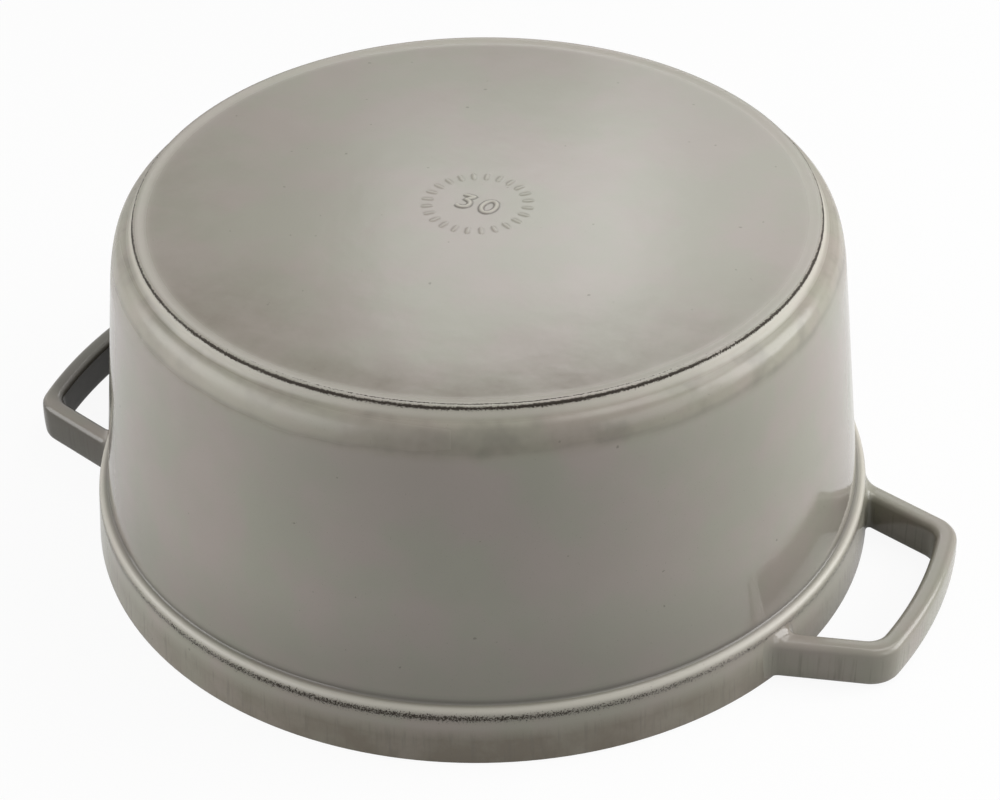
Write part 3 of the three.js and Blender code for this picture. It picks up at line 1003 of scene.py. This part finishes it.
class Shader:
    """A material's node tree, with short calls for the nodes used here."""

    def __init__(self, name):
        self.material = bpy.data.materials.new(name)
        self.material.use_nodes = True
        self.tree = self.material.node_tree
        self.nodes = self.tree.nodes
        self.surface = self.nodes["Principled BSDF"]
        self.place = self.nodes.new("ShaderNodeTexCoord").outputs["Object"]

    def set(self, **values):
        for name, value in values.items():
            socket = name.replace("_", " ").title().replace("Ior", "IOR")
            put(self.tree, self.surface.inputs[socket], value)

    def scaled_place(self, scale):
        node = self.nodes.new("ShaderNodeVectorMath")
        node.operation = "MULTIPLY"
        put(self.tree, node.inputs[0], self.place)
        put(self.tree, node.inputs[1], scale)
        return node.outputs[0]

    def noise(self, scale, detail=2.0, roughness=0.5, stretch=None):
        node = self.nodes.new("ShaderNodeTexNoise")
        put(self.tree, node.inputs["Vector"], self.scaled_place(stretch) if stretch else self.place)
        put(self.tree, node.inputs["Scale"], scale)
        put(self.tree, node.inputs["Detail"], detail)
        put(self.tree, node.inputs["Roughness"], roughness)
        return node.outputs[0]

    def times(self, a, b, clamp=False):
        return math_node(self.tree, "MULTIPLY", a, b, clamp=clamp)

    def plus(self, a, b):
        return math_node(self.tree, "ADD", a, b)

    def minus(self, a, b):
        return math_node(self.tree, "SUBTRACT", a, b)

    def spread(self, value, low, high, to=(0.0, 1.0)):
        """A smooth step from one number to another while a value goes from low to high."""
        node = self.nodes.new("ShaderNodeMapRange")
        node.interpolation_type = "SMOOTHSTEP"
        for socket, number in zip(node.inputs, (value, low, high, *to)):
            put(self.tree, socket, number)
        return node.outputs[0]

    def zone(self, length, ends, to=(0.0, 1.0)):
        """The same between two lengths in millimetres."""
        return self.spread(length, ends[0] * MM, ends[1] * MM, to)

    def specks(self, low, high, most=1.0, **noise):
        """A share that rises from none to the most while noise goes from low to high."""
        return self.spread(self.noise(**noise), low, high, to=(0.0, most))

    def mix(self, share, a, b):
        return mix_node(self.tree, share, a, b)

    def mask(self, name):
        node = self.nodes.new("ShaderNodeAttribute")
        node.attribute_name = name
        return node.outputs["Fac"]

    def height(self):
        node = self.nodes.new("ShaderNodeSeparateXYZ")
        put(self.tree, node.inputs[0], self.place)
        return node.outputs["Z"]

    def radius(self):
        node = self.nodes.new("ShaderNodeVectorMath")
        node.operation = "LENGTH"
        put(self.tree, node.inputs[0], self.scaled_place((1, 1, 0)))
        return node.outputs["Value"]

    def bump(self, value, depth):
        node = self.nodes.new("ShaderNodeBump")
        put(self.tree, node.inputs["Height"], value)
        put(self.tree, node.inputs["Distance"], depth * MM)
        put(self.tree, node.inputs["Strength"], 1.0)
        put(self.tree, self.surface.inputs["Normal"], node.outputs[0])


def grey_enamel():
    """The grey coat: a cloudy grey, with one tone over another where a zone, a mask or noise calls for it.
    Some tones are painted shade (in creases, low on the band and wall, on the handles, on the shoulder's
    front) and some painted highlight (beside the foot, on the bead's crown, on the shoulder's left, on the
    mark's crests).
    """
    s = Shader("grey_enamel")
    height, radius = s.height(), s.radius()
    band = s.zone(radius, BAND_ZONE)
    base = s.zone(height, BASE_ZONE)
    off_base = s.minus(1.0, base)
    shoulder_zone = s.times(s.zone(height, SHOULDER_ZONE), off_base)
    # Painted shade towards the bottom of the band and of the wall.
    low_band = s.times(band, s.zone(height, BAND_SHADE_ZONE, to=(1.0, 0.0)))
    low_wall = s.times(s.minus(1.0, band), s.zone(height, LOW_WALL_ZONE, to=(LOW_WALL_SHADE, 0.0)))
    warm = s.plus(s.times(shoulder_zone, SHOULDER_WARMTH), s.times(s.plus(base, band), BASE_WARMTH))

    clouds = s.specks(low=0.35, high=0.65, scale=34, detail=3, roughness=0.55)
    patches = s.specks(low=0.35, high=0.7, most=0.4, scale=12, detail=3, roughness=0.6)
    grain = s.specks(low=0.6, high=0.8, most=0.25, scale=2300, roughness=0.6)
    pits = s.specks(low=0.79, high=0.81, most=0.5, scale=300, detail=1, roughness=0.4)
    streaks = s.specks(low=0.5, high=0.75, most=0.45, scale=700, stretch=(1, 1, 0.03))
    blotches = s.specks(low=0.45, high=0.68, most=0.4, scale=52, detail=3, roughness=0.6)
    flecks = s.spread(s.noise(scale=1100, detail=4, roughness=0.7), low=0.3, high=0.36, to=(0.4, 0.0))
    uneven = s.spread(s.noise(scale=60, detail=4, roughness=0.6), low=0.2, high=0.8, to=(0.6, 1.3))
    chips = s.times(s.minus(s.noise(scale=1600, detail=4, roughness=0.75), NOISE_MIDDLE), CHIP_CONTRAST)
    # Wear, with painted shade beside the foot's crest.
    worn = s.spread(s.plus(s.mask("wear"), chips), low=0.45, high=0.75)
    pale = s.mask("pale")

    colour = s.mix(clouds, srgb(COOL_GREY), srgb(WARM_GREY))
    for share, tone in (
        (patches, PATCH_GREY),
        (grain, GRAIN_TONE),
        (pits, PIT_TONE),
        (s.times(s.mask("tint"), uneven, clamp=True), TINT_TONE),
        (s.times(low_band, streaks), STREAK_TONE),
        (low_wall, LOW_WALL_TONE),
        (warm, OLIVE_TONE),
        (s.times(shoulder_zone, blotches), BLOTCH_TONE),
        (s.times(shoulder_zone, flecks), FLECK_TONE),
        (s.times(pale, PALE_SHARE), PALE_TONE),
        (s.mask("pool"), POOL_TONE),
        (worn, WORN_TONE),
    ):
        colour = s.mix(share, colour, srgb(tone))

    roughness = s.spread(base, low=0, high=1, to=(WALL_ROUGHNESS, BASE_ROUGHNESS))
    for more in (
        s.times(worn, WORN_ROUGHNESS),
        s.times(s.zone(height, MATT_ZONE, to=(0.0, SHOULDER_ROUGHNESS)), off_base),
        s.times(pale, PALE_ROUGHNESS),
        s.zone(radius, HANDLE_ZONE, to=(0.0, HANDLE_ROUGHNESS)),
    ):
        roughness = s.plus(roughness, more)
    s.set(base_color=colour, roughness=roughness, metallic=s.times(worn, WORN_METAL), ior=ENAMEL_IOR)

    waves = s.plus(s.noise(scale=95), s.times(s.noise(scale=330), RIPPLE_SHARE))
    swell = s.times(s.times(s.noise(scale=32, detail=3, roughness=0.6), shoulder_zone), SHOULDER_SWELL)
    s.bump(s.plus(s.plus(waves, swell), s.times(worn, WORN_SINK)), ENAMEL_RELIEF)
    return s.material


def black_enamel():
    s = Shader("black_enamel")
    grain = s.noise(scale=1700, detail=4, roughness=0.7)
    colour = s.mix(s.spread(grain, *NOISE_RANGE), *map(srgb, BLACK_TONES))
    soot = s.specks(low=0.4, high=0.7, most=0.4, scale=16, detail=3)
    colour = s.mix(soot, colour, srgb(SOOT_TONE))
    s.set(base_color=colour, roughness=s.spread(grain, *NOISE_RANGE, to=BLACK_ROUGHNESS))
    s.bump(grain, BLACK_RELIEF)
    return s.material


def bare_iron():
    s = Shader("bare_iron")
    grain = s.noise(scale=2600, detail=5, roughness=0.7)
    colour = s.mix(s.spread(grain, *NOISE_RANGE), *map(srgb, IRON_TONES))
    rust = s.specks(low=0.6, high=0.8, most=0.45, scale=140, detail=4, roughness=0.6)
    colour = s.mix(rust, colour, srgb(RUST_TONE))
    s.set(base_color=colour, roughness=s.spread(grain, *NOISE_RANGE, to=IRON_ROUGHNESS), metallic=IRON_METAL)
    s.bump(grain, IRON_RELIEF)
    return s.material


def polished_metal(name, light, dark, roughness, turning):
    """Plated or turned metal, with fine rings from its turning and faint smears."""
    s = Shader(name)
    rings = s.noise(scale=turning, stretch=(0.05, 0.05, 1))
    smears = s.noise(scale=70, detail=3, roughness=0.6)
    colour = s.mix(s.spread(smears, *NOISE_RANGE), srgb(light), srgb(dark))
    smeared = s.spread(smears, *NOISE_RANGE, to=(roughness, roughness + SMEAR_ROUGHNESS))
    s.set(base_color=colour, metallic=1.0, roughness=smeared)
    s.bump(rings, TURNING_RELIEF)
    return s.material


def fibre():
    s = Shader("fibre")
    strands = s.noise(scale=900, detail=4, roughness=0.7, stretch=(1, 1, 4))
    colour = s.mix(s.spread(strands, low=0.35, high=0.7), *map(srgb, FIBRE_TONES))
    s.set(base_color=colour, roughness=s.spread(strands, *NOISE_RANGE, to=FIBRE_ROUGHNESS))
    s.bump(strands, FIBRE_RELIEF)
    return s.material


# Assembly

def place(piece, body, material, slot, *nodes):
    piece.data.materials.clear()
    piece.data.materials.append(material)
    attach(piece, body)
    if nodes:
        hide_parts(*nodes)


grey = grey_enamel()
black = black_enamel()
iron = bare_iron()
nickel = polished_metal("nickel", **NICKEL)
steel = polished_metal("steel", **STEEL)

place(pot_coat(), "pot", grey, "grey_enamel", "pot_outer_enamel")
for side, heading in HANDLE_HEADINGS.items():
    skin, skin_faces, normals = handle(0.0, heading)
    # Painted shade on each handle, deeper on the left.
    glaze = masks_of(skin, pool=handle_pool(skin, normals, **HANDLE_POOL[side]))
    loop = mesh_piece(f"handle_{side}", skin, skin_faces, glaze)
    place(loop, "pot", grey, "grey_enamel", "pot_outer_enamel")
lining = mesh_piece("pot_inner_coat", *coat(pot_inside(), -1))
place(lining, "pot", black, "black_enamel", "pot_inner_enamel")
cores = [handle(IRON_DEPTH, heading)[:2] for heading in HANDLE_HEADINGS.values()]
place(mesh_piece("pot_iron", *joined([pot_iron(), *cores])), "pot", iron, "bare_iron", "pot_casting")
place(size_mark(), "pot", grey, "grey_enamel")

lid_points, lid_faces = coat(lid_top(), 1)
lid_coat = mesh_piece("lid_outer_coat", lid_points, lid_faces, masks_of(lid_points))
place(lid_coat, "lid", grey, "grey_enamel", "lid_outer_enamel")
lid_lining = mesh_piece("lid_inner_coat", *coat(lid_under(), -1))
place(lid_lining, "lid", black, "black_enamel", "lid_inner_enamel")
place(mesh_piece("lid_iron", *lid_iron()), "lid", iron, "bare_iron", "lid_casting")
place(mesh_piece("lid_knob", *knob()), "lid", nickel, "knob_nickel", "knob")
seal = mesh_piece("knob_seal", *washer(fibre_low, fibre_high))
place(seal, "lid", fibre(), "washer_fibre", "knob_washer")
seat = mesh_piece("screw_seat", *washer(steel_low, steel_high))
place(seat, "lid", steel, "fastener_steel", "screw_washer")
screw = frame["nodes"]["knob_screw"]
screw.data.materials.clear()
screw.data.materials.append(steel)


# Floor, light and camera

def ray_kinds(tree):
    """Which ray is being traced: one from the camera, one from a mirror or glass, or a diffuse one."""
    path = tree.nodes.new("ShaderNodeLightPath").outputs
    mirrored = math_node(tree, "MAXIMUM", path["Is Glossy Ray"], path["Is Transmission Ray"])
    return path["Is Camera Ray"], mirrored, path["Is Diffuse Ray"]


def floor():
    """A white ground that stays white in the picture but throws less light back up."""
    half = FLOOR_SIZE / 2
    corners = [(-half, -half, 0), (half, -half, 0), (half, half, 0), (-half, half, 0)]
    mesh = bpy.data.meshes.new("floor")
    mesh.from_pydata(corners, [], [(0, 1, 2, 3)])
    obj = bpy.data.objects.new("floor", mesh)
    bpy.context.scene.collection.objects.link(obj)
    material = bpy.data.materials.new("floor_white")
    material.use_nodes = True
    tree = material.node_tree
    tree.nodes.clear()
    camera_ray, mirrored, diffuse_ray = ray_kinds(tree)
    plain = tree.nodes.new("ShaderNodeBsdfDiffuse")
    put(tree, plain.inputs["Color"], mix_node(tree, diffuse_ray, srgb(FLOOR_TONE), srgb(FLOOR_BOUNCE_TONE)))
    white = tree.nodes.new("ShaderNodeEmission")
    seen = math_node(tree, "MULTIPLY", camera_ray, FLOOR_CAMERA_WHITE)
    share = math_node(tree, "MULTIPLY_ADD", mirrored, FLOOR_GLOSSY_WHITE, seen)
    blend = tree.nodes.new("ShaderNodeMixShader")
    for socket, value in zip(blend.inputs, (share, plain.outputs[0], white.outputs[0])):
        put(tree, socket, value)
    out = tree.nodes.new("ShaderNodeOutputMaterial")
    put(tree, out.inputs["Surface"], blend.outputs[0])
    mesh.materials.append(material)


def world():
    """White where it is seen or mirrored, dimmer where it lights."""
    studio = bpy.data.worlds.new("studio")
    bpy.context.scene.world = studio
    studio.use_nodes = True
    tree = studio.node_tree
    background = tree.nodes["Background"]
    put(tree, background.inputs["Color"], (1, 1, 1, 1))
    camera_ray, mirrored, _ = ray_kinds(tree)
    strength = tree.nodes.new("ShaderNodeMapRange")
    put(tree, strength.inputs["Value"], math_node(tree, "MAXIMUM", camera_ray, mirrored))
    put(tree, strength.inputs["To Min"], WORLD_DIFFUSE)
    put(tree, strength.inputs["To Max"], 1.0)
    put(tree, background.inputs["Strength"], strength.outputs[0])


def softbox(name, spot, aim, width, height, radiance):
    """A rectangular light; radiance is how bright its face looks, with white as 1."""
    lamp = bpy.data.lights.new(name, "AREA")
    lamp.shape = "RECTANGLE"
    lamp.size = width
    lamp.size_y = height
    lamp.energy = radiance * math.pi * width * height
    obj = bpy.data.objects.new(name, lamp)
    obj.visible_camera = False
    obj.location = spot
    obj.rotation_euler = (Vector(aim) - Vector(spot)).to_track_quat("-Z", "Y").to_euler()
    bpy.context.scene.collection.objects.link(obj)


def from_camera(right, forward, up):
    """A place in metres given as the photographer sees it: right of, behind and above the origin."""
    a = math.radians(VIEW_AZIMUTH)
    return (
        right * math.cos(a) - forward * math.sin(a),
        right * math.sin(a) + forward * math.cos(a),
        up,
    )


def camera():
    a, e, roll = (math.radians(x) for x in (VIEW_AZIMUTH, VIEW_ELEVATION, VIEW_ROLL))
    back = Vector((math.sin(a) * math.cos(e), -math.cos(a) * math.cos(e), math.sin(e)))
    right = Vector((math.cos(a), math.sin(a), 0))
    up = back.cross(right)
    turn = Matrix((right, up, back)).transposed() @ Matrix.Rotation(roll, 3, "Z")
    data = bpy.data.cameras.new("camera")
    data.lens = VIEW_LENS
    data.sensor_width = SENSOR_WIDTH
    data.sensor_fit = "HORIZONTAL"
    obj = bpy.data.objects.new("camera", data)
    spot = (Vector(VIEW_TARGET) + back * VIEW_DISTANCE) * MM
    obj.matrix_world = Matrix.Translation(spot) @ turn.to_4x4()
    bpy.context.scene.collection.objects.link(obj)
    bpy.context.scene.camera = obj


floor()
world()
pot_middle = (0, 0, POT_HEIGHT / 2 * MM)
for name, (spot, size, radiance) in SOFTBOXES.items():
    softbox(name, from_camera(*spot), pot_middle, *size, radiance)
camera()

bpy.context.scene.view_settings.view_transform = "Standard"
